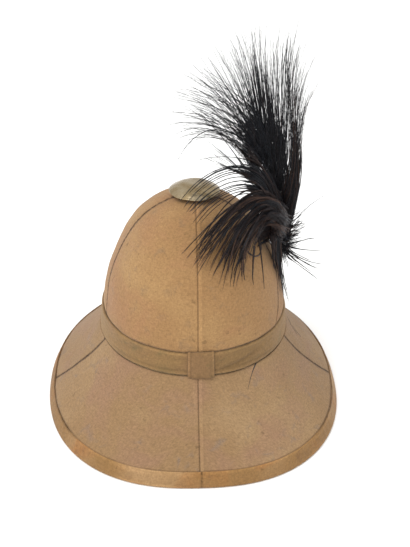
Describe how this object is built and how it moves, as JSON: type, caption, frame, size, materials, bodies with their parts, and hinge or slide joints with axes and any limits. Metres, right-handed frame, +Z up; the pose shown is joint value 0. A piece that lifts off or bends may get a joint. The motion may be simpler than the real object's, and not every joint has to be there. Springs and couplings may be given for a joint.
{
  "type": "pith helmet",
  "caption": "Cloth-covered pith helmet with a domed crown, flared brim bound at its edge, a cloth band, a domed ventilator and a dark feather plume on the wearer's right.",
  "frame": {"origin": "middle of the box that holds the whole hat, on the plane that its rim rests on", "axes": "+Z up, +Y towards the front of the hat, +X towards the wearer's right, where the plume sits"},
  "size_m": [0.287, 0.3329, 0.3529],
  "materials": {
    "cloth": "matte cotton drill",
    "band_cloth": "matte folded cotton",
    "binding_cloth": "worn matte cotton tape",
    "pith": "plain pressed pith",
    "metal": "tarnished",
    "feathers": "dark barbs with a soft sheen"
  },
  "bodies": {
    "root": {"crown_body": "pith", "brim_body": "pith", "edge_binding": "binding_cloth", "band": "band_cloth", "band_loop": "band_cloth", "ventilator_cap": "metal", "ventilator_collar": "metal", "plume_socket": "metal", "plume": "feathers", "crown_panel_rear_left": "cloth", "crown_panel_rear_right": "cloth", "crown_panel_front_left": "cloth", "crown_panel_front_right": "cloth", "brim_panel_rear_left": "cloth", "brim_panel_rear_right": "cloth", "brim_panel_front": "cloth"}
  },
  "joints": []
}
